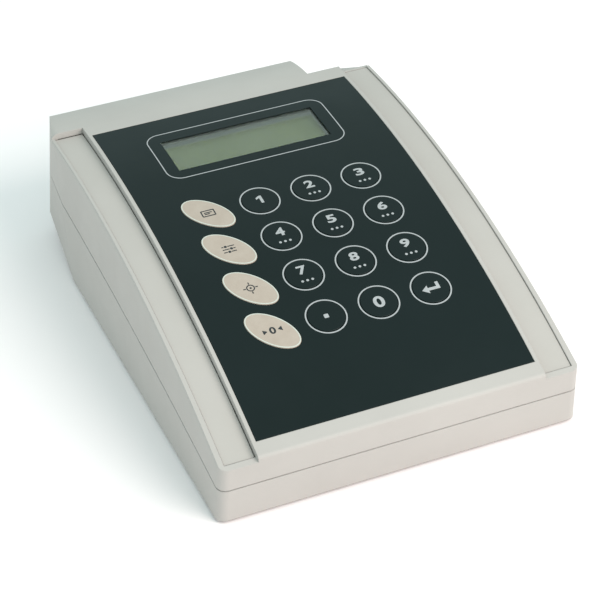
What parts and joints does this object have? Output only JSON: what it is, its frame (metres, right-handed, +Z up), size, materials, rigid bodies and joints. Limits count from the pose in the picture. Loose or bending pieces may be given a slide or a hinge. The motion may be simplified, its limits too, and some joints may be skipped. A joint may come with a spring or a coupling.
{
  "type": "benchtop fluorometer",
  "caption": "Wedge-shaped desk instrument with an arched keypad and display panel, a rear hood and a hinged light-tight lid over a sample tube well.",
  "frame": {"origin": "on the surface it stands on, under the middle of its overall length and width", "axes": "+X to the right seen from the keypad, +Y towards the rear, +Z up"},
  "size_m": [0.1354, 0.1964, 0.0554],
  "materials": {
    "case_plastic": "fine matte texture",
    "strip_plastic": "fine matte texture",
    "overlay_film": "satin polycarbonate",
    "pale_key": "satin polycarbonate",
    "clear_film": "clear",
    "display_glass": "reflective liquid crystal glass",
    "painted_bezel": "satin",
    "circuit_board": "solder mask",
    "polyester": "film",
    "dome_steel": "spring steel",
    "screw_steel": "zinc plated",
    "black_plastic": "fine matte",
    "component_black": "moulded",
    "capacitor_can": "sleeved can",
    "rubber": "matte",
    "optic_glass": "polished",
    "filter_glass": "coated",
    "led_epoxy": "clear epoxy",
    "metal_can": "tinned",
    "connector_shell": "nickel plated",
    "ribbon": "flat cable"
  },
  "bodies": {
    "case": {"base_shell": "case_plastic", "board_capacitors": "capacitor_can", "board_headers": "component_black", "board_screws": "screw_steel", "case_screws": "screw_steel", "controller_chip": "component_black", "dc_jack": "black_plastic", "dc_jack_nut": "screw_steel", "detector_board": "circuit_board", "detector_lens": "optic_glass", "display_backlight": "polyester", "display_bezel": "painted_bezel", "display_board": "circuit_board", "display_glass": "display_glass", "display_ribbon": "ribbon", "display_screws": "screw_steel", "display_window": "clear_film", "emission_filter": "filter_glass", "excitation_filter": "filter_glass", "excitation_led": "led_epoxy", "jackscrews": "screw_steel", "keypad_circuit": "polyester", "keypad_overlay": "overlay_film", "keypad_ribbon": "ribbon", "keypad_spacer": "polyester", "left_side_strip": "strip_plastic", "lid_hinge_pin": "screw_steel", "main_board": "circuit_board", "optical_block": "black_plastic", "optical_block_screws": "screw_steel", "photodiode": "metal_can", "right_side_strip": "strip_plastic", "rubber_feet": "rubber", "sample_well": "black_plastic", "serial_connector": "connector_shell", "snap_domes": "dome_steel", "source_board": "circuit_board", "source_lens": "optic_glass", "switch_housing": "black_plastic", "top_shell": "case_plastic"},
    "key_1_press": {"key_1": "overlay_film"},
    "key_2_press": {"key_2": "overlay_film"},
    "key_3_press": {"key_3": "overlay_film"},
    "key_4_press": {"key_4": "overlay_film"},
    "key_5_press": {"key_5": "overlay_film"},
    "key_6_press": {"key_6": "overlay_film"},
    "key_7_press": {"key_7": "overlay_film"},
    "key_8_press": {"key_8": "overlay_film"},
    "key_9_press": {"key_9": "overlay_film"},
    "key_point_press": {"key_point": "overlay_film"},
    "key_0_press": {"key_0": "overlay_film"},
    "key_enter_press": {"key_enter": "overlay_film"},
    "key_display_press": {"key_display": "pale_key"},
    "key_setup_press": {"key_setup": "pale_key"},
    "key_calibrate_press": {"key_calibrate": "pale_key"},
    "key_zero_press": {"key_zero": "pale_key"},
    "lid": {"sample_lid": "black_plastic", "lid_seal": "rubber"},
    "rocker": {"power_rocker": "black_plastic"}
  },
  "joints": [
    {"name": "key_1_travel", "type": "slide", "parent": "case", "child": "key_1_press", "axis": [0, 0.1173, -0.9931], "range_m": [0, 0.0004], "stiffness_N_per_m": 400, "springref_m": -0.0002},
    {"name": "key_2_travel", "type": "slide", "parent": "case", "child": "key_2_press", "axis": [0, 0.1173, -0.9931], "range_m": [0, 0.0004], "stiffness_N_per_m": 400, "springref_m": -0.0002},
    {"name": "key_3_travel", "type": "slide", "parent": "case", "child": "key_3_press", "axis": [0, 0.1173, -0.9931], "range_m": [0, 0.0004], "stiffness_N_per_m": 400, "springref_m": -0.0002},
    {"name": "key_4_travel", "type": "slide", "parent": "case", "child": "key_4_press", "axis": [0, 0.1676, -0.9859], "range_m": [0, 0.0004], "stiffness_N_per_m": 400, "springref_m": -0.0002},
    {"name": "key_5_travel", "type": "slide", "parent": "case", "child": "key_5_press", "axis": [0, 0.1676, -0.9859], "range_m": [0, 0.0004], "stiffness_N_per_m": 400, "springref_m": -0.0002},
    {"name": "key_6_travel", "type": "slide", "parent": "case", "child": "key_6_press", "axis": [0, 0.1676, -0.9859], "range_m": [0, 0.0004], "stiffness_N_per_m": 400, "springref_m": -0.0002},
    {"name": "key_7_travel", "type": "slide", "parent": "case", "child": "key_7_press", "axis": [0, 0.2175, -0.9761], "range_m": [0, 0.0004], "stiffness_N_per_m": 400, "springref_m": -0.0002},
    {"name": "key_8_travel", "type": "slide", "parent": "case", "child": "key_8_press", "axis": [0, 0.2175, -0.9761], "range_m": [0, 0.0004], "stiffness_N_per_m": 400, "springref_m": -0.0002},
    {"name": "key_9_travel", "type": "slide", "parent": "case", "child": "key_9_press", "axis": [0, 0.2175, -0.9761], "range_m": [0, 0.0004], "stiffness_N_per_m": 400, "springref_m": -0.0002},
    {"name": "key_point_travel", "type": "slide", "parent": "case", "child": "key_point_press", "axis": [0, 0.2668, -0.9638], "range_m": [0, 0.0004], "stiffness_N_per_m": 400, "springref_m": -0.0002},
    {"name": "key_0_travel", "type": "slide", "parent": "case", "child": "key_0_press", "axis": [0, 0.2668, -0.9638], "range_m": [0, 0.0004], "stiffness_N_per_m": 400, "springref_m": -0.0002},
    {"name": "key_enter_travel", "type": "slide", "parent": "case", "child": "key_enter_press", "axis": [0, 0.2668, -0.9638], "range_m": [0, 0.0004], "stiffness_N_per_m": 400, "springref_m": -0.0002},
    {"name": "key_display_travel", "type": "slide", "parent": "case", "child": "key_display_press", "axis": [0, 0.1173, -0.9931], "range_m": [0, 0.0004], "stiffness_N_per_m": 400, "springref_m": -0.0002},
    {"name": "key_setup_travel", "type": "slide", "parent": "case", "child": "key_setup_press", "axis": [0, 0.1676, -0.9859], "range_m": [0, 0.0004], "stiffness_N_per_m": 400, "springref_m": -0.0002},
    {"name": "key_calibrate_travel", "type": "slide", "parent": "case", "child": "key_calibrate_press", "axis": [0, 0.2175, -0.9761], "range_m": [0, 0.0004], "stiffness_N_per_m": 400, "springref_m": -0.0002},
    {"name": "key_zero_travel", "type": "slide", "parent": "case", "child": "key_zero_press", "axis": [0, 0.2668, -0.9638], "range_m": [0, 0.0004], "stiffness_N_per_m": 400, "springref_m": -0.0002},
    {"name": "lid_hinge", "type": "hinge", "parent": "case", "child": "lid", "pos_m": [0.0534, 0.0942, 0.03818], "axis": [-1, 0, 0], "range_deg": [0, 110]},
    {"name": "rocker_tilt", "type": "hinge", "parent": "case", "child": "rocker", "pos_m": [-0.046, 0.09184, 0.0216], "axis": [0, 0, -1], "range_deg": [0, 12]}
  ]
}
